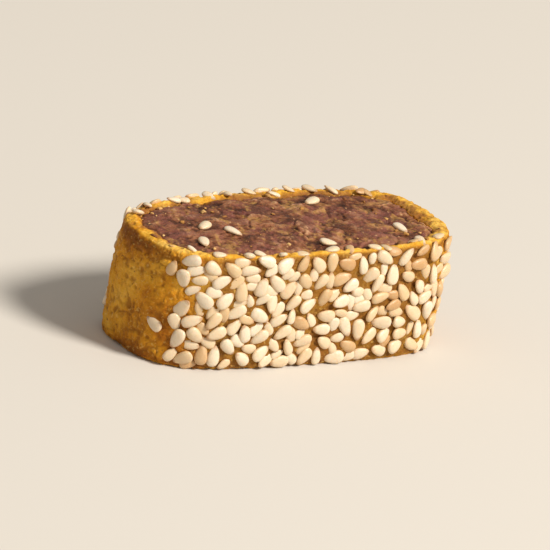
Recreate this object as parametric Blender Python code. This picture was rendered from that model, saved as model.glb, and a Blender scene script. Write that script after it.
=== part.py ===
"""A makroud: one slice of a flattened, date-filled pastry log, laid on its cut face.

The date paste runs through the slice from cut face to cut face, and the pastry is a ring round it.
The two long sides were the top and the underside of the log, and carry its coat of sesame seeds.
The two short ends were the log's bare flanks: smooth, browned pastry.

Metres, +Z up, +X along the slice, -Y its front. The origin is the middle of the base.
"""

import math
import random

import bmesh
import bpy
import numpy as np
from mathutils import Matrix, Vector

# The slice over its pastry, without the seeds.
LENGTH = 0.0468
WIDTH = 0.0228
THICKNESS = 0.0160
SQUARENESS = 3.1  # exponent of the outline's superellipse: 2 is an ellipse, more is squarer
UNEVEN_OUTLINE = ((2, 0.00022, 0.7), (3, 0.00020, 2.3), (5, 0.00010, 4.1))  # waves, height, phase
SLANT = 0.0005  # how far the knife leaned: the top stands this much along +X of the base
TOP_RISE = 0.0003  # how much thicker the slice is at its +X end than in the middle

# The pastry ring.
SIDE_WALL = 0.0018
END_WALL = 0.0028
END_HOLD = 1.5  # how close to the ends the wall keeps its end thickness: more is closer
UNEVEN_WALL = ((3, 0.00018, 1.1), (7, 0.00012, 0.3))
WALL_LEVELS = (0.07, 0.3, 0.5, 0.7, 0.93)  # of the outer wall's points, as shares of its height
SWELL = 0.00035  # how far the wall swells out at half its height
EDGE_ROUND = 0.0006  # radius of the outer edges
ROUND_MIDDLE = 1 - math.sqrt(0.5)  # how deep a round edge's middle lies, as a share of its radius
CROWN = 0.00015  # how far the pastry's cut face stands up between its edges
CROWN_PLACE = 0.6  # where it stands highest, as a share of the wall's width
CROWN_START = 0.4  # how high it stands beside the outer edge, as a share of the crown
INNER_DROP = 0.00024  # how far the inner edge lies below the cut
RING_STATIONS = 64
CORNER_SHARE = 0.6  # how much the stations crowd into the corners, 0 for even spacing
OUTLINE_SAMPLES = 2000  # in half a turn, for lengths along the outline

# The date paste.
GAP = 0.0003  # between the paste and the pastry
PASTE_DOME = 0.0004  # how far the paste stands above the pastry in the middle
PASTE_SINK = 0.0002  # how far it lies below the pastry at its edge
DOME_FLATNESS = 3
PASTE_LUMPS = (  # waves over the paste's top: height, radians a metre along X and Y, phase
    (0.000075, 520, 610, 1.7),
    (0.000075, 520, -610, 0.9),
    (0.000090, 930, -700, 0.0),
)
LUMPS_FADE = 0.4  # of the way from the edge to the middle, over which the lumps rise
PASTE_STATIONS = 60
PASTE_RINGS = 8

# The sesame seeds: length, width and thickness of a large one.
SEED_LENGTH = 0.0030
SEED_WIDTH = 0.0018
SEED_THICKNESS = 0.0009
SMALLEST_SEED = 0.84  # as a share of a large one
SEED_POINTINESS = 0.30  # how much narrower the drop is towards its point
SEED_SIDES = 8
CREST_POINTS = 4  # in the ring below the seed's top
CREST_SIZE = 0.55  # as a share of the seed's full outline
CREST_HEIGHT = 0.9  # as a share of half the seed's thickness
SEED_PROUD = 0.15  # how far a seed's middle stands out of the pastry, as a share of its thickness
SEED_TILT = math.radians(14)
SEED_SPACING = 0.93  # closest that two seeds lie, as a share of where they would just touch
SEED_DRAWS = 6000  # places tried on each long side
SEEDED_SHARE = 0.90  # of the half length that the seeds reach along a long side
TOP_OVERHANG = 0.0006  # how far a seed may stand over the upper cut face
TOP_SEEDS = (  # place on the top face as shares of its half sizes, and the heading
    (-0.65, 0.04, 0.5),
    (-0.50, -0.22, 2.1),
    (-0.80, -0.46, 1.2),
    (0.08, -0.78, 2.8),
    (0.36, 0.58, 0.3),
    (0.74, -0.50, 1.7),
)
TOP_SEED_TIP = 0.1
TOP_SEED_SCALE = 0.9
RANDOM_START = 11

PASTRY_COLOUR = (0.60, 0.33, 0.09, 1.0)
PASTE_COLOUR = (0.25, 0.10, 0.05, 1.0)


def clear_scene():
    for obj in list(bpy.data.objects):
        bpy.data.objects.remove(obj)


def waves(turn, rows):
    """The sum of the rows' cosine waves at this angle round the slice."""
    return sum(height * math.cos(count * turn + phase) for count, height, phase in rows)


def outline_point(turn):
    """The pastry's outer outline at this angle, seen from above."""
    c, s = math.cos(turn), math.sin(turn)
    power = 2 / SQUARENESS
    x = LENGTH / 2 * math.copysign(abs(c) ** power, c)
    y = WIDTH / 2 * math.copysign(abs(s) ** power, s)
    return Vector((x, y))


def outline_normal(turn):
    """The outward direction of the outline at this angle."""
    point = outline_point(turn)
    bend = SQUARENESS - 1
    x = math.copysign(abs(2 * point.x / LENGTH) ** bend / LENGTH, point.x)
    y = math.copysign(abs(2 * point.y / WIDTH) ** bend / WIDTH, point.y)
    return Vector((x, y)).normalized()


def path_lengths(turns):
    """How far along the outline each of these angles lies."""
    points = np.array([outline_point(turn) for turn in turns])
    steps = np.linalg.norm(np.diff(points, axis=0), axis=1)
    return np.concatenate([[0], np.cumsum(steps)])


def stations(count):
    """Angles round the outline that are closer together where it bends more."""
    fine = np.linspace(0, 2 * math.pi, 2 * OUTLINE_SAMPLES + 1)
    along = path_lengths(fine)
    normals = [outline_normal(turn) for turn in fine]
    bends = [a.angle(b) for a, b in zip(normals, normals[1:])]
    bent = np.concatenate([[0], np.cumsum(bends)])
    pace = along / along[-1] * (1 - CORNER_SHARE) + bent / bent[-1] * CORNER_SHARE
    return [float(turn) for turn in np.interp(np.arange(count) / count, pace, fine)]


def wall_width(turn):
    """The thickness of the pastry ring: thin on the long sides and thicker round the ends."""
    endness = abs(outline_normal(turn).x) ** END_HOLD
    return SIDE_WALL + (END_WALL - SIDE_WALL) * endness + waves(turn, UNEVEN_WALL)


def cut_height(x):
    """The height of the upper cut face above the base, before its relief."""
    return THICKNESS + TOP_RISE * max(2 * x / LENGTH, 0) ** 2


def leaned(x, y, z):
    """The place of a point once the knife's slant is put in. The base stays where it is."""
    return Vector((x + SLANT * z / THICKNESS, y, z))


def wall_swell(height_share):
    return SWELL * math.sin(math.pi * min(max(height_share, 0.0), 1.0))


def wall_point(turn, z, out):
    """A point at this height that lies this far outside the outline."""
    flat, normal = outline_point(turn), outline_normal(turn)
    reach = waves(turn, UNEVEN_OUTLINE) + out
    return leaned(flat.x + normal.x * reach, flat.y + normal.y * reach, z)


def shoulder_lean(z, top):
    """How far the wall leans in at this height: it bends over the rounded upper edge."""
    return math.asin(min(max((z - top) / EDGE_ROUND + 1, 0.0), 1.0))


def new_object(name, mesh, colour, roughness):
    material = bpy.data.materials.new(name)
    material.use_nodes = True
    shader = material.node_tree.nodes["Principled BSDF"]
    shader.inputs["Base Color"].default_value = colour
    shader.inputs["Roughness"].default_value = roughness
    mesh.materials.append(material)
    obj = bpy.data.objects.new(name, mesh)
    bpy.context.scene.collection.objects.link(obj)
    return obj


def mesh_of(name, vertices, faces):
    """A mesh with its faces pointing out and all of them triangles."""
    mesh = bpy.data.meshes.new(name)
    mesh.from_pydata([tuple(v) for v in vertices], [], faces)
    bm = bmesh.new()
    bm.from_mesh(mesh)
    bmesh.ops.recalc_face_normals(bm, faces=bm.faces)
    bmesh.ops.triangulate(bm, faces=bm.faces)
    bm.to_mesh(mesh)
    bm.free()
    return mesh


def ring_section(turn):
    """The pastry's closed section at this angle, as (distance outside the outline, height)."""
    width = wall_width(turn)
    top = cut_height(outline_point(turn).x)
    corner = EDGE_ROUND * ROUND_MIDDLE
    section = [(-width, 0.0), (-EDGE_ROUND, 0.0), (-corner, corner)]
    section += [(wall_swell(level), top * level) for level in WALL_LEVELS]
    section.append((-corner, top - corner))
    section.append((-EDGE_ROUND, top + CROWN * CROWN_START))
    section.append((-width * CROWN_PLACE, top + CROWN))
    section.append((-width, top - INNER_DROP))
    return section


def pastry_ring():
    turns = stations(RING_STATIONS)
    vertices, faces = [], []
    for turn in turns:
        vertices += [wall_point(turn, z, out) for out, z in ring_section(turn)]
    size = len(vertices) // len(turns)
    for i in range(len(turns)):
        here, there = i * size, (i + 1) % len(turns) * size
        for k in range(size):
            after = (k + 1) % size
            faces.append((here + k, there + k, there + after, here + after))
    return new_object("pastry", mesh_of("pastry", vertices, faces), PASTRY_COLOUR, 0.75)


def paste_height(x, y, inward):
    """The height of the paste's top at a point, inward being 0 at its edge and 1 in the middle."""
    dome = (PASTE_DOME + PASTE_SINK) * (1 - (1 - inward) ** DOME_FLATNESS) - PASTE_SINK
    lumps = sum(height * math.sin(a * x + b * y + phase) for height, a, b, phase in PASTE_LUMPS)
    return cut_height(x) + dome + lumps * min(inward / LUMPS_FADE, 1.0)


def date_paste():
    turns = stations(PASTE_STATIONS)
    edge = [wall_point(turn, 0, -wall_width(turn) - GAP).xy for turn in turns]
    vertices = [Vector((0, 0, 0))] + [Vector((p.x, p.y, 0)) for p in edge]
    for ring in range(PASTE_RINGS):
        inward = ring / PASTE_RINGS
        for p in edge:
            x, y = p * (1 - inward)
            vertices.append(leaned(x, y, paste_height(x, y, inward)))
    vertices.append(leaned(0, 0, paste_height(0, 0, 1.0)))
    faces, count, last = [], len(turns), len(vertices) - 1
    for i in range(count):
        after = (i + 1) % count
        faces.append((0, 1 + after, 1 + i))
        for ring in range(PASTE_RINGS):
            low, high = 1 + ring * count, 1 + (ring + 1) * count
            faces.append((low + i, low + after, high + after, high + i))
        faces.append((last - count + i, last - count + after, last))
    mesh = mesh_of("date_filling", vertices, faces)
    return new_object("date_filling", mesh, PASTE_COLOUR, 0.6)


def seed_ring(sides, share, height):
    """A ring of points round a seed, this share of its full outline, with its point at +X."""
    ring = []
    for k in range(sides):
        turn = 2 * math.pi * (k + 0.5) / sides
        along, across = math.cos(turn) * share, math.sin(turn) * share
        across *= 1 - SEED_POINTINESS * along
        ring.append((along * SEED_LENGTH / 2, across * SEED_WIDTH / 2, height * SEED_THICKNESS / 2))
    return ring


def seed_mesh(name):
    """A large seed lying flat: a drop with a domed top, and a keel that sinks into the pastry."""
    vertices = seed_ring(SEED_SIDES, 1.0, 0.0) + seed_ring(CREST_POINTS, CREST_SIZE, CREST_HEIGHT)
    vertices += [(0, 0, SEED_THICKNESS / 2), (0, 0, -SEED_THICKNESS)]
    crest, peak, keel = SEED_SIDES, SEED_SIDES + CREST_POINTS, SEED_SIDES + CREST_POINTS + 1
    step = SEED_SIDES // CREST_POINTS
    faces = [(k, keel, (k + 1) % SEED_SIDES) for k in range(SEED_SIDES)]
    for k in range(CREST_POINTS):
        here, after = crest + k, crest + (k + 1) % CREST_POINTS
        low = k * step
        faces += [(low, low + 1, here), (low + 1, (low + 2) % SEED_SIDES, after, here)]
        faces.append((here, after, peak))
    return mesh_of(name, vertices, faces)


def seed_matrix(place, outward, heading, tip, roll, scale):
    """A seed's matrix: lying on a surface at place, turned to heading and a little off flat."""
    lie = outward.to_track_quat("Z", "Y").to_matrix().to_4x4()
    turn = Matrix.Rotation(heading, 4, "Z")
    tilt = Matrix.Rotation(tip, 4, "Y") @ Matrix.Rotation(roll, 4, "X")
    return Matrix.Translation(place) @ lie @ turn @ tilt @ Matrix.Scale(scale, 4)


def footprint(along, z, heading, scale):
    """Three places along a seed's length that stand for where it lies on the unrolled wall."""
    half = (SEED_LENGTH - SEED_WIDTH) / 2 * scale
    step = np.array((math.cos(heading), math.sin(heading))) * half
    middle = np.array((along, z))
    return np.array((middle - step, middle, middle + step))


def is_clear(spot, scale, taken):
    """Whether a seed lies far enough from all that are there."""
    for other, other_scale in taken:
        apart = np.linalg.norm(spot[:, None] - other[None], axis=2).min()
        if apart < SEED_SPACING * SEED_WIDTH * (scale + other_scale) / 2:
            return False
    return True


def seeds_on_side(front, draw):
    """The matrices of the seeds on one long side: random places that keep off each other."""
    half_turn = math.pi if front else 0.0
    turns = [half_turn + k * math.pi / OUTLINE_SAMPLES for k in range(OUTLINE_SAMPLES + 1)]
    turns = [t for t in turns if abs(outline_point(t).x) < SEEDED_SHARE * LENGTH / 2]
    along = path_lengths(turns)
    taken, matrices = [], []
    for number in range(SEED_DRAWS):
        scale = 1 - (1 - SMALLEST_SEED) * number / SEED_DRAWS
        heading = draw.uniform(0, 2 * math.pi)
        distance = draw.uniform(0, along[-1])
        turn = float(np.interp(distance, along, turns))
        reach = scale / 2 * math.hypot(
            SEED_LENGTH * math.sin(heading), SEED_WIDTH * math.cos(heading))
        top = cut_height(outline_point(turn).x)
        z = draw.uniform(reach, top + TOP_OVERHANG - reach)
        tip, roll = draw.uniform(-SEED_TILT, SEED_TILT), draw.uniform(-SEED_TILT, SEED_TILT)
        spot = footprint(distance, z, heading, scale)
        if is_clear(spot, scale, taken):
            taken.append((spot, scale))
            lean, normal = shoulder_lean(z, top), outline_normal(turn)
            outward = Vector((normal.x * math.cos(lean), normal.y * math.cos(lean), math.sin(lean)))
            surface = wall_point(turn, z, wall_swell(z / top) - EDGE_ROUND * (1 - math.cos(lean)))
            place = surface + outward * SEED_PROUD * scale * SEED_THICKNESS
            matrices.append(seed_matrix(place, outward, heading, tip, roll, scale))
    return matrices


def seeds_on_paste():
    """The matrices of the few seeds that stick to the paste."""
    matrices = []
    for x_share, y_share, heading in TOP_SEEDS:
        x = x_share * (LENGTH / 2 - END_WALL)
        y = y_share * (WIDTH / 2 - SIDE_WALL)
        inward = 1 - max(abs(x_share), abs(y_share))
        z = paste_height(x, y, inward) + SEED_PROUD * SEED_THICKNESS
        place = leaned(x, y, z)
        up = Vector((0, 0, 1))
        matrices.append(seed_matrix(place, up, heading, TOP_SEED_TIP, 0.0, TOP_SEED_SCALE))
    return matrices


def keep_main_shell(mesh):
    """Drops all but the largest closed shell, and so loose scraps and hollows that fusing sealed."""
    bm = bmesh.new()
    bm.from_mesh(mesh)
    left, shells = set(bm.verts), []
    while left:
        shell, edge = set(), [left.pop()]
        while edge:
            vert = edge.pop()
            shell.add(vert)
            for link in vert.link_edges:
                other = link.other_vert(vert)
                if other in left:
                    left.remove(other)
                    edge.append(other)
        shells.append(shell)
    main = max(shells, key=len)
    bmesh.ops.delete(bm, geom=[v for v in bm.verts if v not in main], context="VERTS")
    bmesh.ops.triangulate(bm, faces=bm.faces)
    bm.to_mesh(mesh)
    bm.free()


def fuse_seeds(body, matrices):
    """Joins the seeds to the body by one union."""
    group = bpy.data.collections.new("seeds on " + body.name)
    bpy.context.scene.collection.children.link(group)
    mesh = seed_mesh("seed")
    for number, matrix in enumerate(matrices):
        seed = bpy.data.objects.new(f"seed_{number}", mesh)
        seed.matrix_world = matrix
        group.objects.link(seed)
    union = body.modifiers.new("seeds", "BOOLEAN")
    union.operation = "UNION"
    union.operand_type = "COLLECTION"
    union.collection = group
    graph = bpy.context.evaluated_depsgraph_get()
    fused = bpy.data.meshes.new_from_object(body.evaluated_get(graph))
    body.modifiers.clear()
    body.data = fused
    for seed in list(group.objects):
        bpy.data.objects.remove(seed)
    bpy.data.collections.remove(group)
    keep_main_shell(body.data)


def centre_on_base(objects):
    """Moves the origin to the middle of the whole slice's base."""
    points = np.array([v.co for obj in objects for v in obj.data.vertices])
    middle = (points.min(axis=0) + points.max(axis=0)) / 2
    shift = Matrix.Translation((-middle[0], -middle[1], -points[:, 2].min()))
    for obj in objects:
        obj.data.transform(shift)


def main():
    clear_scene()
    draw = random.Random(RANDOM_START)
    pastry, filling = pastry_ring(), date_paste()
    fuse_seeds(pastry, seeds_on_side(True, draw) + seeds_on_side(False, draw))
    fuse_seeds(filling, seeds_on_paste())
    centre_on_base([pastry, filling])


main()
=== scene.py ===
"""The looks of the makroud: baked pastry, date paste and sesame seeds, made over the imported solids.

The slice's outline, its wall and the places of the large seeds follow the same rules and sizes as
the solids, at a finer grain. Lengths are metres in the solids' frame, and colours linear RGB.
"""

import math
import random

import bmesh
import bpy
import numpy as np
from mathutils import Matrix, Vector, noise

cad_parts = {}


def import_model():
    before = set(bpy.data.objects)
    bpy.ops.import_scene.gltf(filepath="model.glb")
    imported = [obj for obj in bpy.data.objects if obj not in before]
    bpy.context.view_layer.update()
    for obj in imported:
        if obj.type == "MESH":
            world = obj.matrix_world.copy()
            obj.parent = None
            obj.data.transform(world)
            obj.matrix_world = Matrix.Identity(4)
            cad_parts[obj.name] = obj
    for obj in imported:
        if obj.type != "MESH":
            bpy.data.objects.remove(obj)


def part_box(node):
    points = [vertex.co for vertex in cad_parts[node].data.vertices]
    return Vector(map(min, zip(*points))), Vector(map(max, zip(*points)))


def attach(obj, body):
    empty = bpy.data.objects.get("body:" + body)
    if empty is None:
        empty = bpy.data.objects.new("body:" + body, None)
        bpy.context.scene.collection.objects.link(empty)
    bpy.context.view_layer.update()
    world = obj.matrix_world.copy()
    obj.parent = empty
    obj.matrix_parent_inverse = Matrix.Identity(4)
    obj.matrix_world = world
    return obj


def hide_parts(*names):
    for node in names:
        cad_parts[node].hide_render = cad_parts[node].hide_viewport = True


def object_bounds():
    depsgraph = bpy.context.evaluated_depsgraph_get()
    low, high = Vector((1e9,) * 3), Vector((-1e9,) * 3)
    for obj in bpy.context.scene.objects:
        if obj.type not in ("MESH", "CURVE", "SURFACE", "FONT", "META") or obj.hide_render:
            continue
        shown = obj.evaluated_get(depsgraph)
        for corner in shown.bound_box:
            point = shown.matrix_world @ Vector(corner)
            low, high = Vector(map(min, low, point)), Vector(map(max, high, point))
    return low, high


# The slice, as in the solids.
LENGTH = 0.0468
WIDTH = 0.0228
THICKNESS = 0.0160
SQUARENESS = 3.1
UNEVEN_OUTLINE = ((2, 0.00022, 0.7), (3, 0.00020, 2.3), (5, 0.00010, 4.1))
SLANT = 0.0005
TOP_RISE = 0.0003

# The pastry ring, as in the solids.
SIDE_WALL = 0.0018
END_WALL = 0.0028
END_HOLD = 1.5
UNEVEN_WALL = ((3, 0.00018, 1.1), (7, 0.00012, 0.3))
WALL_LEVELS = (0.07, 0.3, 0.5, 0.7, 0.93)
SWELL = 0.00035
EDGE_ROUND = 0.0006
ROUND_MIDDLE = 1 - math.sqrt(0.5)
CROWN = 0.00015
CROWN_PLACE = 0.6
CROWN_START = 0.4
INNER_DROP = 0.00024
CORNER_SHARE = 0.6
OUTLINE_SAMPLES = 2000

# The date paste, as in the solids.
GAP = 0.0003
PASTE_DOME = 0.0004
PASTE_SINK = 0.0002
DOME_FLATNESS = 3
PASTE_LUMPS = ((0.000075, 520, 610, 1.7), (0.000075, 520, -610, 0.9), (0.000090, 930, -700, 0.0))
LUMPS_FADE = 0.4
PASTE_STATIONS = 60

# The seeds, as in the solids.
SEED_LENGTH = 0.0030
SEED_WIDTH = 0.0018
SEED_THICKNESS = 0.0009
SMALLEST_SEED = 0.84
SEED_POINTINESS = 0.30
SEED_PROUD = 0.15
SEED_TILT = math.radians(14)
SEED_SPACING = 0.93
SEED_DRAWS = 6000
SEEDED_SHARE = 0.90
TOP_OVERHANG = 0.0006
TOP_SEEDS = (
    (-0.65, 0.04, 0.5),
    (-0.50, -0.22, 2.1),
    (-0.80, -0.46, 1.2),
    (0.08, -0.78, 2.8),
    (0.36, 0.58, 0.3),
    (0.74, -0.50, 1.7),
)
TOP_SEED_TIP = 0.1
TOP_SEED_SCALE = 0.9
RANDOM_START = 11

# How finely the surfaces are made here.
WALL_STEPS = 660  # round the slice
WALL_CORNERS = 0.3  # how much these crowd into the corners
OUTER_STEPS = 112  # up the pastry's outside and over its cut face
FLOOR_STEPS = 7
INNER_STEPS = 14
PASTE_CELLS = (290, 132)  # along and across the paste
EDGE_SAMPLES = 1440  # of the paste's edge
CURVE_STEPS = 24  # between two points of the pastry's section
TINY = 1e-12  # keeps a division by a length from failing

# The seam between pastry and paste is torn. Rows of lumps: height, size, where the pattern starts.
SEAM_TEARS = ((0.00052, 0.0038, 4.4), (0.00034, 0.0015, 8.8))
PASTE_REACH = 0.00026  # how far the paste reaches past its solid, to meet the pastry

# The pastry's relief. Rows of pores also give the share of places that have one.
PASTRY_SINK = 0.00005
CRUST_LUMPS = ((0.00013, 0.0060, 3.1), (0.00009, 0.0024, 7.7))
CRUST_GRAINS = ((0.00012, 0.0012, 1.9), (0.00009, 0.0007, 5.3))
CRUST_PORES = ((0.00016, 0.0015, 0.35, 0.0), (0.00013, 0.0009, 0.45, 4.0))
CUT_PORES = ((0.00016, 0.0008, 0.50, 8.0),)
GRAIN_RADIUS = 0.65  # as a share of a cell of its pattern
PORE_RADIUS = 0.45
# Rows of cracks: depth, half width as a share of a cell, size of a cell and of a patch, start.
CRUST_CRACKS = ((0.00022, 0.09, 0.0040, 0.0080, 11.0), (0.00015, 0.14, 0.0020, 0.0060, 31.0))
CRACK_BEND = 0.25  # how far cracks wander, as a share of a cell
PATCH_STEP = 2  # from a net's own start to its patches'
PATCH_EDGE = 2.5  # how sharply a patch of cracks ends
PATCH_COVER = 0.5  # 0 covers half of the crust, 1 all of it

# How browned the pastry is, from 0 to 1: in the middle of a flank, and what is added to that. What
# the ends add is partly browning and partly painted shade.
TOAST = {"flank": 0.50, "edges": 0.25, "ends": 0.10, "cut": -0.20}
TOAST_EDGES = ((0.95, 0.06), (0.02, 0.05))  # lines along the flanks: height and half width, as shares
TOAST_PATCHES = ((0.32, 0.0075, 9.0), (0.20, 0.0028, 4.0))
FLANK_FALL = 6  # how soon a long side gives way to an end

# Date paste that the knife dragged over the pastry's cut face.
SMEAR_RISE = 1.5  # how much more of it there is at the paste than at the outer edge
SMEAR_ONSET = 0.80  # more leaves the face cleaner
SMEAR_STRETCH = 0.5  # under 1 draws its streaks out along the slice
SMEAR_STREAKS = ((0.8, 0.0014, 5.0),)

# The relief's marks for the materials, from 0 in its hollows to 1 on its crests. By them the
# materials paint shade into the hollows, and painted light onto the paste's crests.
LEVEL_MARK = 0.5
CRUST_MARK = 2200  # how much each metre of relief adds
PASTE_MARK = 1700

# The paste's relief.
PASTE_SETTLE = 0.00004
STREAK = (0.45, 1.2, 1.0)  # how the knife drew the paste out: points are squeezed by this
PASTE_BUMPS = ((0.00016, 0.0042, 2.0), (0.00012, 0.0020, 6.0), (0.00004, 0.0005, 3.0))
PASTE_STRANDS = ((0.00009, 0.0009, 8.0), (0.00005, 0.0004, 1.0))
PASTE_GRAINS = ((0.00013, 0.0011, 9.0), (0.00008, 0.0006, 14.0))
PASTE_PITS = ((0.00022, 0.0018, 0.30, 3.0),)
PASTE_TEARS = ((0.00014, 0.0009, 0.45, 7.0),)
PASTE_CRACKS = ((0.00024, 0.09, 0.0050, 0.0090, 12.0),)
DATE_PIECES = (0.00012, 0.0028, 0.26, 17.0)  # bits of whole date: height, size, share, start
PIECE_RADIUS = 0.5  # as a share of a cell of their pattern
PIECE_FLATNESS = 1.6  # over 1 makes their tops flat
PIECE_SMOOTHNESS = 0.6  # how much of the torn relief is missing on them
UPPER_FACE = 0.05  # the levels at which the patterns are read for the paste's two cut faces
LOWER_FACE = 0.9
PASTE_ROUND = 0.00012  # how far the paste's edge is rounded off
ROUND_SHARE = 0.03  # of the way in, over which it is
LOWER_RELIEF = 0.6  # the lower face was pressed flatter: shares of the upper one's relief
LOWER_ROUND = 2.5
LOWER_LIFT = 0.00006

# The coat's smaller seeds, between the large ones: spacing, how proud, steepest tilt, places tried.
FILLERS = ((0.76, 0.02, math.radians(15), 7000), (0.60, -0.13, math.radians(12), 7000))
FILLER_SCALES = (0.74, 0.96)
FILLER_OVERHANG = 0.7  # of the large seeds' overhang at the upper edge
FILLER_RANDOM_START = 5
STRAY_SHARE = 0.982  # of the half length, as far as single small seeds stray past the coat
STRAY_CHANCE = 0.02
RIM_SEEDS = 13  # on each long side of the upper cut face
RIM_SCALES = (0.62, 0.85)
RIM_STEPS = (0.1, 0.9)  # where in its own stretch of the edge each lies
RIM_PLACES = (0.25, 0.85)  # how far in from the edge, as shares of the wall's width
RIM_HEIGHTS = (-0.15, 0.20)  # as shares of a seed's thickness
RIM_TILT = 0.3  # radians

# One seed's form.
SEED_RINGS = 9
SEED_SIDES = 12
SEED_FULLNESS = 0.9  # under 1 makes its ends blunter
SEED_TAIL = 0.08  # how much more its tip narrows
SEED_EDGE = 1.15  # over 1 makes its rim thinner
DENT_WIDTH = 0.4  # of the furrow along its middle, as a share of its half width
BOW_MIDDLE = 0.4  # where a bowed seed keeps its own height
WOBBLE_WAVES = (3, 2.5)  # round a seed and along it
SHAPE_RANDOM_START = 3
SEED_VARIETY = {  # how seeds differ: factors on a seed's sizes, and shares of its half thickness
    "thickness": (0.85, 1.10),
    "width": (0.88, 1.08),
    "length": (0.90, 1.04),
    "bow": (-0.14, 0.14),
    "dent": (0.00, 0.22),
    "wobble": (0.00, 0.07),
}
SEED_TONES = {  # the palest seed's tone, and the span up to the brownest
    "sesame_coat": (0.16, 0.62),
    "sesame_on_top": (0.00, 0.25),
}
TONE_PATCHES = ((0.5, 0.0050, 21.0),)

# The crumbs on the upper cut face.
CRUMBS = 70
CRUMB_SIZES = (0.00010, 0.00038)
CRUMB_MARGIN = 1.2 * EDGE_ROUND
CRUMB_CROWDING = 0.35  # under 0.5 gathers them towards the edge
CRUMB_RISE = 0.2  # how far they stand clear, as a share of their size
CRUMB_STRETCH = ((0.9, 1.7), (0.6, 1.0), (0.4, 0.8))
CRUMB_LUMPS = ((0.7, 0.8), (0.4, 0.35))  # height and size, for a crumb of size 1
CRUMB_PATTERNS = 90  # how far apart the crumbs' patterns may start
CRUMB_FINENESS = 2  # over 1 makes most of them small

# Colours.
BAKED = (  # from pale to well browned
    (0.00, (0.870, 0.530, 0.105)),
    (0.30, (0.800, 0.415, 0.040)),
    (0.60, (0.665, 0.282, 0.013)),
    (0.82, (0.450, 0.155, 0.007)),
    (1.00, (0.240, 0.073, 0.005)),
)
# Painted shade: the pastry's hollows, pores and cracks are darkened by the relief's depth mark.
PAINTED_HOLLOW_SHADE = (0.300, 0.105, 0.012)
# Partly painted shade between the seeds, partly toasted dough: the coated flanks are darkened under
# the seeds.
SHADE_AND_TOAST_UNDER_SEEDS = (0.200, 0.082, 0.015)
PALE_GRAIN = (0.860, 0.560, 0.170)
BRAN = (0.200, 0.065, 0.012)
DATE_SMEAR = (0.260, 0.092, 0.028)
# Painted shade and painted light: the paste is made darker in its hollows and lighter on its crests.
DATE = (  # from its hollows to its crests
    (0.00, (0.052, 0.014, 0.005)),
    (0.28, (0.120, 0.033, 0.011)),
    (0.58, (0.260, 0.092, 0.037)),
    (0.80, (0.370, 0.157, 0.073)),
    (1.00, (0.530, 0.280, 0.145)),
)
PLUM = (0.215, 0.066, 0.048)
AMBER = (0.430, 0.222, 0.058)
DATE_SKIN = (0.090, 0.028, 0.012)
FLECK = (0.600, 0.360, 0.170)
SESAME = (  # from pale to toasted
    (0.15, (0.820, 0.695, 0.530)),
    (0.55, (0.780, 0.620, 0.425)),
    (0.85, (0.700, 0.490, 0.270)),
    (1.00, (0.560, 0.325, 0.140)),
)
SESAME_TIP = (0.420, 0.200, 0.070)
# Partly the seed's own edge tone, partly painted shade where seeds touch: each seed is darker towards
# its rim.
SESAME_RIM_TONE_AND_SHADE = (0.660, 0.420, 0.180)
SESAME_MOTTLE = (0.700, 0.490, 0.260)
CRUMB = (
    (0.15, (0.200, 0.070, 0.025)),
    (0.60, (0.520, 0.250, 0.060)),
    (1.00, (0.760, 0.490, 0.200)),
)

# The view, the floor and the light.
CAMERA_AZIMUTH = -36.8
CAMERA_ELEVATION = 20.2
CAMERA_ROLL = 10.1
CAMERA_DISTANCE = 1.65
FRAME_WIDTH = 0.074  # at the slice
SENSOR_WIDTH = 36.0  # mm
CLIP_START = 0.05
FLOOR_LEVEL = -0.00006  # just under the slice, so that the two faces don't coincide
FLOOR_HALF = 3.0
FLOOR_COLOUR = (0.68, 0.64, 0.585)
FLOOR_ROUGHNESS = 0.9
SKY_COLOUR = (1.0, 0.95, 0.88)
SKY_STRENGTH = 0.36
KEY_LIGHT = {"azimuth": 30, "elevation": 44, "distance": 1.6, "size": 0.45, "power": 33.0}
KEY_COLOUR = (1.0, 0.95, 0.87)

# Patterns in space, and the sockets of a Mix node.
PATTERN_START = 7  # Blender's vector noise takes the clock's time unless it is given a start
PATTERN_STEPS = (1.0, 1.7, -1.0)  # where a pattern's start takes it
CELL_CHANCE = (91.7, 37.3, 11.1)  # turns a cell's middle into a number that looks like chance
MIX_BELOW, MIX_ABOVE, MIXED = 6, 7, 2  # its two colours and its result


# The slice's shape, by the solids' own rules


def waves(turn, rows):
    return sum(height * math.cos(count * turn + phase) for count, height, phase in rows)


def outline_point(turn):
    """The pastry's outer outline at this angle, seen from above."""
    c, s = math.cos(turn), math.sin(turn)
    power = 2 / SQUARENESS
    x = LENGTH / 2 * math.copysign(abs(c) ** power, c)
    y = WIDTH / 2 * math.copysign(abs(s) ** power, s)
    return Vector((x, y))


def outline_normal(turn):
    point = outline_point(turn)
    bend = SQUARENESS - 1
    x = math.copysign(abs(2 * point.x / LENGTH) ** bend / LENGTH, point.x)
    y = math.copysign(abs(2 * point.y / WIDTH) ** bend / WIDTH, point.y)
    return Vector((x, y)).normalized()


def path_lengths(turns):
    points = np.array([outline_point(turn) for turn in turns])
    steps = np.linalg.norm(np.diff(points, axis=0), axis=1)
    return np.concatenate([[0], np.cumsum(steps)])


def stations(count, corner_share):
    """Angles round the outline that are closer together where it bends more."""
    fine = np.linspace(0, 2 * math.pi, 2 * OUTLINE_SAMPLES + 1)
    along = path_lengths(fine)
    normals = [outline_normal(turn) for turn in fine]
    bends = [a.angle(b) for a, b in zip(normals, normals[1:])]
    bent = np.concatenate([[0], np.cumsum(bends)])
    pace = along / along[-1] * (1 - corner_share) + bent / bent[-1] * corner_share
    return [float(turn) for turn in np.interp(np.arange(count) / count, pace, fine)]


def wall_width(turn):
    endness = abs(outline_normal(turn).x) ** END_HOLD
    return SIDE_WALL + (END_WALL - SIDE_WALL) * endness + waves(turn, UNEVEN_WALL)


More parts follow.
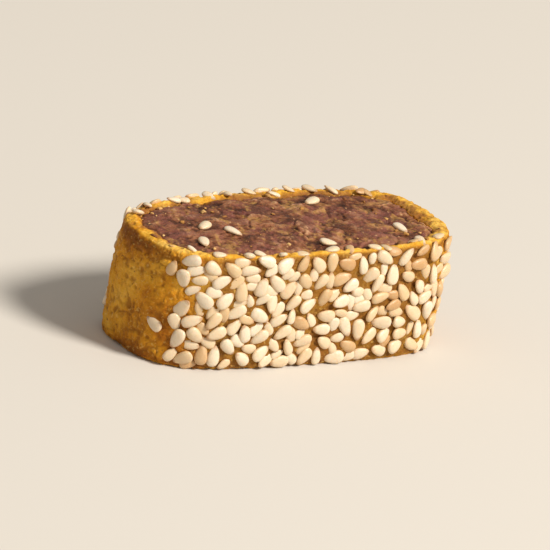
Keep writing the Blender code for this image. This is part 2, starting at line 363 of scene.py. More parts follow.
def cut_height(x):
    return THICKNESS + TOP_RISE * max(2 * x / LENGTH, 0) ** 2


def leaned(x, y, z):
    return Vector((x + SLANT * z / THICKNESS, y, z))


def wall_swell(height_share):
    return SWELL * math.sin(math.pi * clipped(height_share))


def wall_point(turn, z, out):
    """A point at this height that lies this far outside the outline."""
    flat, normal = outline_point(turn), outline_normal(turn)
    reach = waves(turn, UNEVEN_OUTLINE) + out
    return leaned(flat.x + normal.x * reach, flat.y + normal.y * reach, z)


def shoulder_lean(z, top):
    return math.asin(clipped((z - top) / EDGE_ROUND + 1))


def ring_section(turn, width):
    """The pastry's closed section at this angle, as (distance outside the outline, height)."""
    top = cut_height(outline_point(turn).x)
    corner = EDGE_ROUND * ROUND_MIDDLE
    section = [(-width, 0.0), (-EDGE_ROUND, 0.0), (-corner, corner)]
    section += [(wall_swell(level), top * level) for level in WALL_LEVELS]
    section.append((-corner, top - corner))
    section.append((-EDGE_ROUND, top + CROWN * CROWN_START))
    section.append((-width * CROWN_PLACE, top + CROWN))
    section.append((-width, top - INNER_DROP))
    return section


def paste_height(x, y, inward):
    """The height of the paste's top at a point, inward being 0 at its edge and 1 in the middle."""
    dome = (PASTE_DOME + PASTE_SINK) * (1 - (1 - inward) ** DOME_FLATNESS) - PASTE_SINK
    lumps = sum(height * math.sin(a * x + b * y + phase) for height, a, b, phase in PASTE_LUMPS)
    return cut_height(x) + dome + lumps * min(inward / LUMPS_FADE, 1.0)


# Patterns in space


def clipped(value):
    return min(max(value, 0.0), 1.0)


def pattern_place(point, size, start):
    return Vector(point) / size + Vector([start * step for step in PATTERN_STEPS])


def rough(point, size, start):
    """Smooth noise from -1 to 1 whose bumps are about this size."""
    return noise.noise(pattern_place(point, size, start))


def dot(point, size, share, start, radius):
    """1 in the middle of scattered round spots, falling to 0 at their radius.

    The radius is a share of a cell, and share is the part of the cells that have a spot."""
    distances, middles = noise.voronoi(pattern_place(point, size, start))
    pick = middles[0].dot(Vector(CELL_CHANCE)) % 1
    return max(0.0, 1 - (distances[0] / radius) ** 2) if pick < share else 0.0


def lumps_at(point, rows):
    return sum(height * rough(point, size, start) for height, size, start in rows)


def grains_at(point, rows):
    """Rounded grains that touch each other."""
    return sum(height * dot(point, size, 1.0, start, GRAIN_RADIUS) for height, size, start in rows)


def pores_at(point, rows):
    """Small round hollows."""
    deep = 0.0
    for depth, size, share, start in rows:
        deep += depth * dot(point, size, share, start, PORE_RADIUS)
    return -deep


def cracks_at(point, rows):
    """A net of thin ragged furrows that shows in patches."""
    total = 0.0
    for depth, half_width, size, patch, start in rows:
        bent = noise.noise_vector(pattern_place(point, size / 2, start)) * size * CRACK_BEND
        distances, _ = noise.voronoi(pattern_place(Vector(point) + bent, size, start))
        here = clipped(PATCH_EDGE * rough(point, patch, start + PATCH_STEP) + PATCH_COVER)
        total -= depth * here * max(0.0, 1 - (distances[1] - distances[0]) / half_width)
    return total


# Meshes


def mesh_object(name, points, faces):
    mesh = bpy.data.meshes.new(name)
    mesh.from_pydata([tuple(p) for p in points], [], [tuple(f) for f in faces])
    mesh.validate()
    mesh.shade_smooth()
    obj = bpy.data.objects.new(name, mesh)
    bpy.context.scene.collection.objects.link(obj)
    return obj


def add_marks(obj, marks):
    """Named numbers from 0 to 1 on the vertices, which the material reads."""
    for name, values in marks.items():
        layer = obj.data.attributes.new(name, "FLOAT", "POINT")
        layer.data.foreach_set("value", np.clip(values, 0, 1).astype(np.float32).ravel())


def smooth_path(points, count):
    """count points evenly along a Catmull-Rom curve through these points."""
    p = np.array(points, float)
    p = np.vstack([2 * p[0] - p[1], p, 2 * p[-1] - p[-2]])
    t = np.linspace(0, 1, CURVE_STEPS, endpoint=False)[:, None]
    pieces = []
    for a, b, c, d in zip(p, p[1:], p[2:], p[3:]):
        pieces.append(0.5 * (2 * b + (c - a) * t + (2 * a - 5 * b + 4 * c - d) * t ** 2
                             + (3 * b - a - 3 * c + d) * t ** 3))
    curve = np.vstack(pieces + [p[-2:-1]])
    along = np.concatenate([[0], np.cumsum(np.linalg.norm(np.diff(curve, axis=0), axis=1))])
    even = np.linspace(0, along[-1], count)
    return np.stack([np.interp(even, along, curve[:, k]) for k in range(2)], axis=1)


def grid_normals(grid):
    """Outward normals of a ring-shaped grid of points, wrapping round both ways."""
    across = np.roll(grid, -1, axis=0) - np.roll(grid, 1, axis=0)
    down = np.roll(grid, -1, axis=1) - np.roll(grid, 1, axis=1)
    normal = np.cross(across, down)
    normal /= np.maximum(np.linalg.norm(normal, axis=2, keepdims=True), TINY)
    middle = FLOOR_STEPS + OUTER_STEPS // 2
    outward = np.sum(normal[:, middle, :2] * grid[:, middle, :2])
    return normal if outward > 0 else -normal


# The pastry


def torn_width(turn):
    """The wall's width here: the paste tore the pastry's inner edge when the slice was cut."""
    x, y = outline_point(turn)
    return wall_width(turn) + lumps_at((x, y, 0), SEAM_TEARS)


def pastry_relief(point, cut):
    """How far the baked surface stands out at a point; cut is 1 on a cut face, 0 on a flank."""
    relief = lumps_at(point, CRUST_LUMPS) + grains_at(point, CRUST_GRAINS)
    relief += pores_at(point, CRUST_PORES) + pores_at(point, CUT_PORES) * cut
    return relief + cracks_at(point, CRUST_CRACKS) * (1 - cut) - PASTRY_SINK


def toast_at(point, cut, side):
    """How browned the pastry is: most at the ends and along the flanks' edges. The ends' extra
    darkness is partly painted shade.
    """
    height = point[2] / THICKNESS
    edges = sum(math.exp(-((height - middle) / half) ** 2) for middle, half in TOAST_EDGES)
    # The ends' share is partly browning, partly painted shade.
    added = (TOAST["edges"] * edges + TOAST["ends"] * (1 - side)) * (1 - cut) + TOAST["cut"] * cut
    return TOAST["flank"] + added + lumps_at(point, TOAST_PATCHES)


def smear_at(point, cut, inward):
    """How far date paste is dragged over the pastry's cut face from its inner edge."""
    dragged = lumps_at((point[0] * SMEAR_STRETCH, point[1], point[2]), SMEAR_STREAKS)
    return cut * (SMEAR_RISE * inward - SMEAR_ONSET + dragged)


def pastry_paths(turns):
    """The ring's points by angle and along its section, and how far outside the outline they are."""
    grid, outs = [], []
    for turn in turns:
        section = ring_section(turn, torn_width(turn))
        floor = np.linspace(section[0], section[1], FLOOR_STEPS)[:-1]
        outer = smooth_path(section[1:], OUTER_STEPS)
        inner = np.linspace(section[-1], section[0], INNER_STEPS)[1:-1]
        path = np.vstack([floor, outer, inner])
        grid.append([tuple(wall_point(turn, z, out)) for out, z in path])
        outs.append(path[:, 0])
    return np.array(grid), np.array(outs)


def pastry_crust(shift):
    """The baked ring: crinkled browned flanks, and a crumb that shows on the cut faces."""
    turns = stations(WALL_STEPS, WALL_CORNERS)
    grid, outs = pastry_paths(turns)
    normals = grid_normals(grid)
    count, size = grid.shape[:2]
    marks = {name: np.zeros((count, size)) for name in ("toast", "depth", "coat", "smear")}
    for i, turn in enumerate(turns):
        side, width = abs(outline_normal(turn).y) ** FLANK_FALL, torn_width(turn)
        for k in range(FLOOR_STEPS - 1 + OUTER_STEPS):
            point, cut = tuple(grid[i, k]), normals[i, k, 2] ** 2
            lift = pastry_relief(point, cut)
            grid[i, k] += normals[i, k] * lift
            marks["toast"][i, k] = toast_at(point, cut, side)
            marks["depth"][i, k] = LEVEL_MARK + CRUST_MARK * lift
            marks["coat"][i, k] = side * (1 - cut)
            marks["smear"][i, k] = smear_at(point, cut, -outs[i, k] / width)
    grid[:, :, 2] = np.maximum(grid[:, :, 2], 0.0)
    quads = []
    for i in range(count):
        here, there = i * size, (i + 1) % count * size
        for k in range(size):
            after = (k + 1) % size
            quads.append((here + k, there + k, there + after, here + after))
    obj = mesh_object("pastry_crust", grid.reshape(-1, 3) + shift, quads)
    add_marks(obj, marks)
    return obj


# The date paste


def paste_edge(turn, out):
    """The paste's edge at this angle, moved out by so much."""
    return wall_point(turn, 0, -torn_width(turn) - GAP + out).xy


def paste_spread():
    """A square's grid bent over the paste: each point's x, y and level, 0 in the middle to 1 at
    the edge."""
    turns = np.linspace(0, 2 * math.pi, EDGE_SAMPLES + 1)
    edge = np.array([tuple(paste_edge(turn, PASTE_REACH)) for turn in turns])
    s, t = (np.linspace(-1, 1, cells + 1) for cells in PASTE_CELLS)
    s, t = np.meshgrid(s, t, indexing="ij")
    level = np.maximum(np.abs(s), np.abs(t))
    safe = np.maximum(level, TINY)
    u, v = s / safe, t / safe
    bend = SQUARENESS
    x = u * (1 - np.abs(v) ** bend / 2) ** (1 / bend)
    y = v * (1 - np.abs(u) ** bend / 2) ** (1 / bend)
    half = bend / 2
    turn = np.arctan2(np.sign(y) * np.abs(y) ** half, np.sign(x) * np.abs(x) ** half)
    turn = np.mod(turn, 2 * math.pi)
    x, y = (np.interp(turn, turns, edge[:, k]) * level for k in range(2))
    return x.ravel(), y.ravel(), level.ravel()


def paste_relief(x, y, level):
    """How far the sticky paste stands up at a place of a cut face, and 1 in a bit of whole date."""
    point = (x, y, level)
    drawn = tuple(a * b for a, b in zip(point, STREAK))
    height, size, share, start = DATE_PIECES
    piece = min(1.0, PIECE_FLATNESS * dot(drawn, size, share, start, PIECE_RADIUS))
    torn = lumps_at(drawn, PASTE_STRANDS) + grains_at(point, PASTE_GRAINS)
    torn += pores_at(point, PASTE_PITS) + pores_at(drawn, PASTE_TEARS)
    relief = lumps_at(point, PASTE_BUMPS) + cracks_at(point, PASTE_CRACKS)
    return relief + torn * (1 - PIECE_SMOOTHNESS * piece) + height * piece - PASTE_SETTLE, piece


def date_paste(shift):
    """The paste's whole body: sticky, torn and lumpy on both cut faces."""
    xs, ys, levels = paste_spread()
    points, lifts, pieces = [], [], []
    for face in (UPPER_FACE, LOWER_FACE):
        for x, y, level in zip(xs, ys, levels):
            lift, piece = paste_relief(x, y, face)
            rounded = PASTE_ROUND * max(0.0, 1 - (1 - level) / ROUND_SHARE) ** 2
            if face == UPPER_FACE:
                z = paste_height(x, y, 1 - level) + lift - rounded
            else:
                z = max(0.0, LOWER_RELIEF * lift + LOWER_LIFT + LOWER_ROUND * rounded)
            points.append(tuple(leaned(x, y, z)))
            lifts.append(lift)
            pieces.append(piece)
    along, across = PASTE_CELLS
    row, under = across + 1, len(xs)
    quads = []
    for i in range(along):
        for j in range(across):
            a = i * row + j
            b = a + row
            quads.append((a, b, b + 1, a + 1))
            quads.append((under + a, under + a + 1, under + b + 1, under + b))
    border = [(i, 0) for i in range(along)] + [(along, j) for j in range(across)]
    border += [(along - i, across) for i in range(along)] + [(0, across - j) for j in range(across)]
    border = [i * row + j for i, j in border]
    for a, b in zip(border, border[1:] + border[:1]):
        quads.append((b, a, under + a, under + b))
    obj = mesh_object("date_paste", np.array(points) + shift, quads)
    depth = LEVEL_MARK + PASTE_MARK * np.array(lifts)
    add_marks(obj, {"depth": depth, "piece": np.array(pieces)})
    return obj


# The sesame seeds


def seed_shape(draw):
    """One seed's points and how near each is to its rim: a flattened drop, uneven by the draw."""
    own = {name: draw.uniform(*span) for name, span in SEED_VARIETY.items()}
    phase = draw.uniform(0, 2 * math.pi)
    length, bow = own["length"], own["bow"]
    round_it, along_it = WOBBLE_WAVES
    points, rim = [(-length, 0.0, bow * (1 - BOW_MIDDLE))], [1.0]
    for ring in range(SEED_RINGS):
        angle = math.pi * (ring + 1) / (SEED_RINGS + 1)
        along = -math.cos(angle)
        taper = 1 - SEED_POINTINESS * along - SEED_TAIL * along ** 3
        girth = math.sin(angle) ** SEED_FULLNESS * taper
        for k in range(SEED_SIDES):
            turn = 2 * math.pi * k / SEED_SIDES
            side, up = math.cos(turn), math.sin(turn)
            uneven = 1 + own["wobble"] * math.sin(round_it * turn + along_it * along + phase)
            dented = 1 - own["dent"] * math.exp(-(side / DENT_WIDTH) ** 2)
            up = math.copysign(abs(up) ** SEED_EDGE, up) * dented * uneven
            height = up * girth * own["thickness"] + bow * (along ** 2 - BOW_MIDDLE)
            points.append((along * length, side * girth * own["width"] * uneven, height))
            rim.append(side ** 2)
    points.append((length, 0.0, bow * (1 - BOW_MIDDLE)))
    rim.append(1.0)
    return np.array(points) * (SEED_LENGTH / 2, SEED_WIDTH / 2, SEED_THICKNESS / 2), rim


def seed_faces(start):
    faces = []
    last = start + 1 + SEED_RINGS * SEED_SIDES
    for k in range(SEED_SIDES):
        after = (k + 1) % SEED_SIDES
        faces.append((start, start + 1 + after, start + 1 + k))
        faces.append((last, last - SEED_SIDES + k, last - SEED_SIDES + after))
        for ring in range(SEED_RINGS - 1):
            low, high = start + 1 + ring * SEED_SIDES, start + 1 + (ring + 1) * SEED_SIDES
            faces.append((low + k, low + after, high + after, high + k))
    return faces


def seed_matrix(place, outward, heading, tip, roll, scale):
    """A seed's matrix: lying on a surface at place, turned to heading and a little off flat."""
    lie = outward.to_track_quat("Z", "Y").to_matrix().to_4x4()
    turn = Matrix.Rotation(heading, 4, "Z")
    tilt = Matrix.Rotation(tip, 4, "Y") @ Matrix.Rotation(roll, 4, "X")
    return Matrix.Translation(place) @ lie @ turn @ tilt @ Matrix.Scale(scale, 4)


def footprint(along, z, heading, scale):
    """Three places along a seed's length that stand for where it lies on the unrolled wall."""
    half = (SEED_LENGTH - SEED_WIDTH) / 2 * scale
    step = np.array((math.cos(heading), math.sin(heading))) * half
    middle = np.array((along, z))
    return np.array((middle - step, middle, middle + step))


def is_clear(spot, scale, taken, spacing):
    """Whether a seed lies far enough from all that are there."""
    for other, other_scale in taken:
        apart = np.linalg.norm(spot[:, None] - other[None], axis=2).min()
        if apart < spacing * SEED_WIDTH * (scale + other_scale) / 2:
            return False
    return True


def side_turns(front, share):
    """Angles along one long side, as far as this share of the half length."""
    half_turn = math.pi if front else 0.0
    turns = [half_turn + k * math.pi / OUTLINE_SAMPLES for k in range(OUTLINE_SAMPLES + 1)]
    return [t for t in turns if abs(outline_point(t).x) < share * LENGTH / 2]


def height_reach(heading, scale):
    """Half the height that a seed with this heading takes up on the wall."""
    return scale / 2 * math.hypot(SEED_LENGTH * math.sin(heading), SEED_WIDTH * math.cos(heading))


def seed_on_wall(turn, z, heading, tip, roll, scale, proud):
    top = cut_height(outline_point(turn).x)
    lean, normal = shoulder_lean(z, top), outline_normal(turn)
    outward = Vector((normal.x * math.cos(lean), normal.y * math.cos(lean), math.sin(lean)))
    surface = wall_point(turn, z, wall_swell(z / top) - EDGE_ROUND * (1 - math.cos(lean)))
    place = surface + outward * proud * scale * SEED_THICKNESS
    return seed_matrix(place, outward, heading, tip, roll, scale)


def large_seeds(front, draw):
    """The solids' own seeds on one long side, with the footprints that they take."""
    turns = side_turns(front, SEEDED_SHARE)
    along = path_lengths(turns)
    taken, matrices = [], []
    for number in range(SEED_DRAWS):
        scale = 1 - (1 - SMALLEST_SEED) * number / SEED_DRAWS
        heading = draw.uniform(0, 2 * math.pi)
        distance = draw.uniform(0, along[-1])
        turn = float(np.interp(distance, along, turns))
        reach = height_reach(heading, scale)
        top = cut_height(outline_point(turn).x)
        z = draw.uniform(reach, top + TOP_OVERHANG - reach)
        tip, roll = draw.uniform(-SEED_TILT, SEED_TILT), draw.uniform(-SEED_TILT, SEED_TILT)
        spot = footprint(distance, z, heading, scale)
        if is_clear(spot, scale, taken, SEED_SPACING):
            taken.append((spot, scale))
            matrices.append(seed_on_wall(turn, z, heading, tip, roll, scale, SEED_PROUD))
    return matrices, taken


def filler_seeds(front, taken, draw):
    """The smaller seeds between them, and a few that stray round the corners past the coat."""
    coated = path_lengths(side_turns(front, SEEDED_SHARE))[-1]
    turns = side_turns(front, STRAY_SHARE)
    along = path_lengths(turns)
    past = (along[-1] - coated) / 2
    taken, matrices = list(taken), []
    for spacing, proud, tilt, tries in FILLERS:
        for _ in range(tries):
            scale, heading = draw.uniform(*FILLER_SCALES), draw.uniform(0, 2 * math.pi)
            distance = draw.uniform(-past, coated + past)
            strayed = max(-distance, distance - coated, 0.0) / past
            turn = float(np.interp(distance + past, along, turns))
            reach = height_reach(heading, scale)
            top = cut_height(outline_point(turn).x)
            z = draw.uniform(reach, top + TOP_OVERHANG * FILLER_OVERHANG - reach)
            tip, roll = draw.uniform(-tilt, tilt), draw.uniform(-tilt, tilt)
            if strayed and draw.random() > STRAY_CHANCE * (1 - strayed) ** 2:
                continue
            spot = footprint(distance, z, heading, scale)
            if is_clear(spot, scale, taken, spacing):
                taken.append((spot, scale))
                matrices.append(seed_on_wall(turn, z, heading, tip, roll, scale, proud))
    return matrices


def rim_seeds(front, draw):
    """Small seeds along the upper edge that lie over onto the pastry's cut face."""
    turns = side_turns(front, SEEDED_SHARE)
    along = path_lengths(turns)
    up = Vector((0, 0, 1))
    matrices = []
    for number in range(RIM_SEEDS):
        distance = along[-1] * (number + draw.uniform(*RIM_STEPS)) / RIM_SEEDS
        turn = float(np.interp(distance, along, turns))
        z = cut_height(outline_point(turn).x) + CROWN
        place = wall_point(turn, z, -draw.uniform(*RIM_PLACES) * wall_width(turn))
        place += up * draw.uniform(*RIM_HEIGHTS) * SEED_THICKNESS
        heading, scale = draw.uniform(0, 2 * math.pi), draw.uniform(*RIM_SCALES)
        tip, roll = draw.uniform(-RIM_TILT, RIM_TILT), draw.uniform(-RIM_TILT, RIM_TILT)
        matrices.append(seed_matrix(place, up, heading, tip, roll, scale))
    return matrices


def seeds_on_paste():
    """The few seeds that stick to the paste, where the solids have them."""
    matrices = []
    for x_share, y_share, heading in TOP_SEEDS:
        x = x_share * (LENGTH / 2 - END_WALL)
        y = y_share * (WIDTH / 2 - SIDE_WALL)
        inward = 1 - max(abs(x_share), abs(y_share))
        z = paste_height(x, y, inward) + SEED_PROUD * SEED_THICKNESS
        place = leaned(x, y, z)
        up = Vector((0, 0, 1))
        matrices.append(seed_matrix(place, up, heading, TOP_SEED_TIP, 0.0, TOP_SEED_SCALE))
    return matrices


def coat_seeds():
    """The seeds of both long sides."""
    draw, filler = random.Random(RANDOM_START), random.Random(FILLER_RANDOM_START)
    matrices = []
    for front in (True, False):
        large, taken = large_seeds(front, draw)
        matrices += large + filler_seeds(front, taken, filler) + rim_seeds(front, filler)
    return matrices


def sesame(name, matrices, shift, draw):
    """All the seeds of one place, as one mesh. The browner ones lie in patches."""
    points, faces = [], []
    palest, tone_span = SEED_TONES[name]
    marks = {"tone": [], "tip": [], "rim": []}
    for matrix in matrices:
        shape, near_rim = seed_shape(draw)
        faces += seed_faces(len(points) * len(shape))
        points.append(shape @ np.array(matrix.to_3x3()).T + np.array(matrix.translation))
        tone = palest + tone_span * draw.random() + lumps_at(matrix.translation, TONE_PATCHES)
        marks["tone"] += [tone] * len(shape)
        marks["tip"] += list(shape[:, 0] / SEED_LENGTH + 0.5)
        marks["rim"] += near_rim
    points = np.vstack(points) + shift
    points[:, 2] = np.maximum(points[:, 2], 0.0)
    obj = mesh_object(name, points, faces)
    add_marks(obj, marks)
    return obj


# The crumbs


def crumb_shape(draw):
    """A crumb's points and faces: an uneven, flattish lump about 2 across."""
    ball = bmesh.new()
    bmesh.ops.create_icosphere(ball, subdivisions=2, radius=1.0)
    start = draw.uniform(0, CRUMB_PATTERNS)
    stretch = np.array([draw.uniform(*span) for span in CRUMB_STRETCH])
    lumps = [(height, size, start) for height, size in CRUMB_LUMPS]
    points = []
    for vert in ball.verts:
        points.append(np.array(vert.co) * (1 + lumps_at(vert.co, lumps)) * stretch)
    faces = [tuple(v.index for v in face.verts) for face in ball.faces]
    ball.free()
    return np.array(points), faces


def crumbs(shift, draw):
    """The crumbs that the knife left on the upper cut face, as one mesh."""
    points, faces, tones = [], [], []
    smallest, largest = CRUMB_SIZES
    for _ in range(CRUMBS):
        turn, out = draw.uniform(0, 2 * math.pi), draw.random() ** CRUMB_CROWDING
        edge = wall_point(turn, 0, -CRUMB_MARGIN).xy
        x, y = edge * out
        inward = 1 - out * edge.length / paste_edge(turn, 0.0).length
        size = smallest + (largest - smallest) * draw.random() ** CRUMB_FINENESS
        z = paste_height(x, y, inward) if inward > 0 else cut_height(x) + CROWN
        shape, cells = crumb_shape(draw)
        start = len(points) * len(shape)
        spin = np.array(Matrix.Rotation(draw.uniform(0, 2 * math.pi), 3, "Z"))
        points.append(shape @ spin.T * size + np.array(leaned(x, y, z + size * CRUMB_RISE)))
        faces += [tuple(start + v for v in cell) for cell in cells]
        tones += [draw.random()] * len(shape)
    obj = mesh_object("crumbs", np.vstack(points) + shift, faces)
    add_marks(obj, {"tone": tones})
    return obj


# Materials


class Nodes:
    """A material's node tree, with short ways to add and join nodes."""

    def __init__(self, name):
        self.material = bpy.data.materials.new(name)
        self.material.use_nodes = True
        self.tree = self.material.node_tree
        self.shader = self.tree.nodes["Principled BSDF"]

    def add(self, kind, **settings):
        node = self.tree.nodes.new("ShaderNode" + kind)
        for key, value in settings.items():
            setattr(node, key, value)
        return node

    def join(self, output, socket):
        self.tree.links.new(output, socket)

    def mark(self, name):
        """The vertices' own numbers of this name."""
        return self.add("Attribute", attribute_name=name).outputs["Fac"]

    def place(self):
        return self.add("TexCoord").outputs["Object"]

    def noise(self, size, detail=4.0, roughness=0.55, distortion=0.0):
        node = self.add("TexNoise")
        node.inputs["Scale"].default_value = 1 / size
        node.inputs["Detail"].default_value = detail
        node.inputs["Roughness"].default_value = roughness
        node.inputs["Distortion"].default_value = distortion
        self.join(self.place(), node.inputs["Vector"])
        return node.outputs["Fac"]

    def cells(self, size, output="Distance"):
        """A pattern of cells: the distance from a cell's middle, or one random colour for each."""
        node = self.add("TexVoronoi")
        node.inputs["Scale"].default_value = 1 / size
        self.join(self.place(), node.inputs["Vector"])
        return node.outputs[output]

    def ramp(self, factor, stops):
        node = self.add("ValToRGB")
        elements = node.color_ramp.elements
        while len(elements) < len(stops):
            elements.new(0.5)
        for element, (position, colour) in zip(elements, stops):
            element.position = position
            element.color = (*colour, 1.0)
        self.join(factor, node.inputs["Fac"])
        return node.outputs["Color"]

    def span(self, source, start, end, to_start=0.0, to_end=1.0):
        """source brought from its own span to this other one, and held at its ends."""
        node = self.add("MapRange")
        limits = {"From Min": start, "From Max": end, "To Min": to_start, "To Max": to_end}
        for name, value in limits.items():
            node.inputs[name].default_value = value
        self.join(source, node.inputs["Value"])
        return node.outputs["Result"]

    def tint(self, base, colour, source, start, end, strength):
        """base with this colour over it, rising to strength as source goes from start to end."""
        node = self.add("Mix", data_type="RGBA")
        self.join(self.span(source, start, end, 0.0, strength), node.inputs["Factor"])
        self.join(base, node.inputs[MIX_BELOW])
        node.inputs[MIX_ABOVE].default_value = (*colour, 1.0)
        return node.outputs[MIXED]

    def plus(self, a, b, weight):
        """a plus this weight of b."""
        node = self.add("Math", operation="MULTIPLY_ADD")
        self.join(b, node.inputs[0])
        node.inputs[1].default_value = weight
        self.join(a, node.inputs[2])
        return node.outputs[0]

    def times(self, a, b):
        node = self.add("Math", operation="MULTIPLY")
        self.join(a, node.inputs[0])
        self.join(b, node.inputs[1])
        return node.outputs[0]

    def bump(self, height, distance, strength):
        node = self.add("Bump")
        node.inputs["Distance"].default_value = distance
        node.inputs["Strength"].default_value = strength
        self.join(height, node.inputs["Height"])
        return node.outputs["Normal"]

    def finish(self, base, roughness, normal, gloss):
        """Joins the colour, roughness and bump to the shader."""
        self.join(base, self.shader.inputs["Base Color"])
        self.join(roughness, self.shader.inputs["Roughness"])
        self.join(normal, self.shader.inputs["Normal"])
        self.shader.inputs["Specular IOR Level"].default_value = gloss
        return self.material

    def glow_through(self, weight, depth, radius):
        """Lets light in under the surface, by these shares of red, green and blue."""
        self.shader.inputs["Subsurface Weight"].default_value = weight
        self.shader.inputs["Subsurface Scale"].default_value = depth
        self.shader.inputs["Subsurface Radius"].default_value = radius


def pastry_material():
    n = Nodes("baked_pastry")
    toast = n.plus(n.mark("toast"), n.noise(0.0024, detail=5), weight=0.5)
    toast = n.plus(toast, n.noise(0.0007), weight=0.4)
    depth = n.plus(n.mark("depth"), n.noise(0.0004, detail=3), weight=0.4)
    pale = n.noise(0.0005, detail=2, roughness=0.5, distortion=0.6)
    bran = n.noise(0.0008, detail=2)
    smear = n.plus(n.mark("smear"), n.noise(0.0008), weight=0.5)
    base = n.ramp(n.span(toast, start=0.55, end=1.40), BAKED)
    # Painted shade in the pastry's hollows, pores and cracks, by the depth mark.
    base = n.tint(base, PAINTED_HOLLOW_SHADE, depth, start=0.75, end=0.35, strength=0.72)
    # Partly painted shade between the seeds, partly toasted dough, on the coated flanks.
    base = n.tint(base, SHADE_AND_TOAST_UNDER_SEEDS, n.mark("coat"), start=0.1, end=0.8, strength=0.80)
    base = n.tint(base, PALE_GRAIN, pale, start=0.60, end=0.70, strength=0.40)
    base = n.tint(base, BRAN, bran, start=0.66, end=0.72, strength=0.65)
    base = n.tint(base, DATE_SMEAR, smear, start=0.30, end=0.62, strength=0.75)
    n.glow_through(weight=0.08, depth=0.0008, radius=(1.0, 0.40, 0.10))
    sandy = n.plus(n.noise(0.0003, detail=5, roughness=0.7), n.cells(0.00045), weight=0.7)
    roughness = n.span(n.noise(0.0011), start=0.3, end=0.7, to_start=0.50, to_end=0.78)
    return n.finish(base, roughness, n.bump(sandy, distance=0.00014, strength=1.0), gloss=0.16)


def paste_material():
    n = Nodes("date_paste")
    depth = n.plus(n.mark("depth"), n.noise(0.00125, detail=6, roughness=0.65), weight=0.9)
    depth = n.plus(depth, n.noise(0.0024, detail=3, roughness=0.6), weight=1.3)
    plum = n.noise(0.0030, detail=3, roughness=0.6, distortion=0.4)
    amber = n.noise(0.0024, roughness=0.6, distortion=1.0)
    skin = n.noise(0.0026, roughness=0.6, distortion=0.8)
    piece = n.plus(n.mark("piece"), n.noise(0.0006, detail=3), weight=0.5)
    ragged = n.plus(n.cells(0.0011), n.noise(0.00035, detail=3, roughness=0.6), weight=0.55)
    chosen = n.span(n.cells(0.0011, "Color"), start=0.62, end=0.66)
    fleck = n.times(n.span(ragged, start=0.46, end=0.34), chosen)
    # Painted shade in the paste's hollows and painted light on its crests, mixed with random
    # mottling.
    base = n.ramp(n.span(depth, start=1.20, end=2.02), DATE)
    base = n.tint(base, PLUM, plum, start=0.50, end=0.58, strength=0.66)
    base = n.tint(base, AMBER, amber, start=0.54, end=0.62, strength=0.72)
    base = n.tint(base, DATE_SKIN, skin, start=0.48, end=0.40, strength=0.72)
    base = n.tint(base, PLUM, piece, start=0.60, end=1.00, strength=0.45)
    base = n.tint(base, FLECK, fleck, start=0.0, end=1.0, strength=0.62)
    n.glow_through(weight=0.08, depth=0.0008, radius=(1.0, 0.35, 0.18))
    torn = n.noise(0.00045, detail=6, roughness=0.68, distortion=0.8)
    fibres = n.plus(torn, n.cells(0.0006), weight=0.6)
    roughness = n.span(n.noise(0.0009), start=0.35, end=0.65, to_start=0.34, to_end=0.66)
    return n.finish(base, roughness, n.bump(fibres, distance=0.00018, strength=1.0), gloss=0.36)


def seed_material():
    n = Nodes("sesame")
    tone = n.plus(n.mark("tone"), n.noise(0.0014, detail=3), weight=0.25)
    tip = n.plus(n.mark("tip"), n.noise(0.0005, detail=3), weight=0.25)
    base = n.ramp(tone, SESAME)
    base = n.tint(base, SESAME_TIP, tip, start=0.92, end=1.07, strength=0.80)
    # Partly the seed's own edge tone, partly painted shade where seeds touch and overlap.
    base = n.tint(base, SESAME_RIM_TONE_AND_SHADE, n.mark("rim"), start=0.50, end=1.0, strength=0.50)
    base = n.tint(base, SESAME_MOTTLE, n.noise(0.0006), start=0.52, end=0.70, strength=0.38)
    n.glow_through(weight=0.15, depth=0.0004, radius=(1.0, 0.6, 0.3))
    roughness = n.span(n.noise(0.0004, detail=3), start=0.3, end=0.7, to_start=0.28, to_end=0.48)
    skin = n.bump(n.noise(0.00022), distance=0.00006, strength=0.85)
    return n.finish(base, roughness, skin, gloss=0.55)


def crumb_material():
    n = Nodes("crumbs")
    tone = n.plus(n.mark("tone"), n.noise(0.0004, detail=3), weight=0.3)
    base = n.ramp(tone, CRUMB)
    roughness = n.span(n.noise(0.0003, detail=3), start=0.3, end=0.7, to_start=0.65, to_end=0.85)
    skin = n.bump(n.noise(0.0002), distance=0.00005, strength=0.8)
    return n.finish(base, roughness, skin, gloss=0.3)


def floor_material():
    n = Nodes("floor")
    n.shader.inputs["Base Color"].default_value = (*FLOOR_COLOUR, 1.0)
    n.shader.inputs["Roughness"].default_value = FLOOR_ROUGHNESS
    return n.material


# Camera, floor and light


def direction(azimuth, elevation):
    """Towards a place at this azimuth, seen from the slice: 0 is its front, 90 its +X end."""
    a, e = math.radians(azimuth), math.radians(elevation)
    return Vector((math.sin(a) * math.cos(e), -math.cos(a) * math.cos(e), math.sin(e)))


def aim(obj, target, roll=0.0):
    way = (Vector(target) - obj.location).normalized()
    turned = way.to_track_quat("-Z", "Y").to_matrix().to_4x4() @ Matrix.Rotation(roll, 4, "Z")
    obj.matrix_world = Matrix.Translation(obj.location) @ turned


def make_camera(target):
    camera = bpy.data.objects.new("camera", bpy.data.cameras.new("camera"))
    bpy.context.scene.collection.objects.link(camera)
    camera.data.sensor_width = SENSOR_WIDTH
    camera.data.lens = SENSOR_WIDTH * CAMERA_DISTANCE / FRAME_WIDTH
    camera.data.clip_start = CLIP_START
    camera.location = target + direction(CAMERA_AZIMUTH, CAMERA_ELEVATION) * CAMERA_DISTANCE
    aim(camera, target, math.radians(CAMERA_ROLL))
    bpy.context.scene.camera = camera


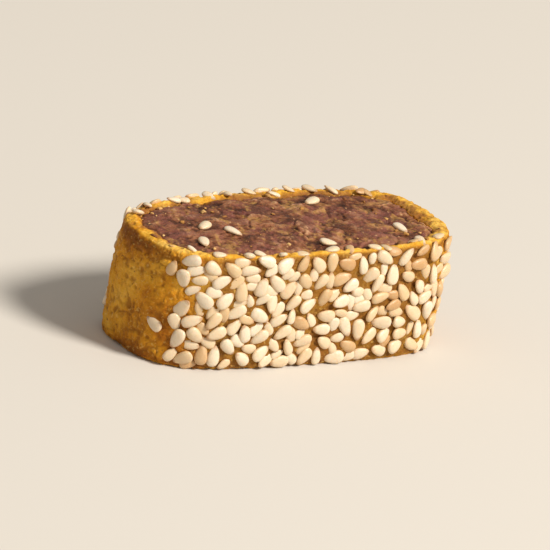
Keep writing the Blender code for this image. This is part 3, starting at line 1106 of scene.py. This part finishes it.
def make_key_light(target):
    light = bpy.data.objects.new("key", bpy.data.lights.new("key", "AREA"))
    bpy.context.scene.collection.objects.link(light)
    light.data.shape = "DISK"
    light.data.size = KEY_LIGHT["size"]
    light.data.energy = KEY_LIGHT["power"]
    light.data.color = KEY_COLOUR
    way = direction(KEY_LIGHT["azimuth"], KEY_LIGHT["elevation"])
    light.location = target + way * KEY_LIGHT["distance"]
    aim(light, target)


def make_floor():
    corners = [(-1, -1), (1, -1), (1, 1), (-1, 1)]
    points = [(x * FLOOR_HALF, y * FLOOR_HALF, FLOOR_LEVEL) for x, y in corners]
    floor = mesh_object("floor", points, [(0, 1, 2, 3)])
    floor.data.materials.append(floor_material())


def make_sky():
    world = bpy.data.worlds.new("studio")
    world.use_nodes = True
    background = world.node_tree.nodes["Background"]
    background.inputs["Color"].default_value = (*SKY_COLOUR, 1.0)
    background.inputs["Strength"].default_value = SKY_STRENGTH
    bpy.context.scene.world = world


# The whole


def frame_shift():
    """From the rules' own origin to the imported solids': the paste shows how far they were moved."""
    edge = []
    for turn in stations(PASTE_STATIONS, CORNER_SHARE):
        x, y = wall_point(turn, 0, -wall_width(turn) - GAP).xy
        edge += [leaned(x, y, 0), leaned(x, y, paste_height(x, y, 0))]
    edge = np.array([tuple(p) for p in edge])
    low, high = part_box("date_filling")
    shift = (np.array(low) + np.array(high) - edge.min(axis=0) - edge.max(axis=0)) / 2
    shift[2] = 0.0
    return shift


def dress(piece, material, node):
    """Puts a piece in a solid's place."""
    piece.data.materials.append(material)
    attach(piece, "root")
    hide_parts(node)


def main():
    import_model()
    cad_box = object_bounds()
    noise.seed_set(PATTERN_START)
    shift = frame_shift()
    shapes = random.Random(SHAPE_RANDOM_START)
    sesame_look = seed_material()
    coat = sesame("sesame_coat", coat_seeds(), shift, shapes)
    on_paste = sesame("sesame_on_top", seeds_on_paste(), shift, shapes)
    dress(pastry_crust(shift), pastry_material(), "pastry")
    dress(coat, sesame_look, "pastry")
    dress(date_paste(shift), paste_material(), "date_filling")
    dress(on_paste, sesame_look, "date_filling")
    dress(crumbs(shift, shapes), crumb_material(), "date_filling")

    centre = (Vector(cad_box[0]) + Vector(cad_box[1])) / 2
    make_camera(centre)
    make_key_light(centre)
    make_floor()
    make_sky()
    bpy.context.scene.view_settings.view_transform = "Standard"


main()
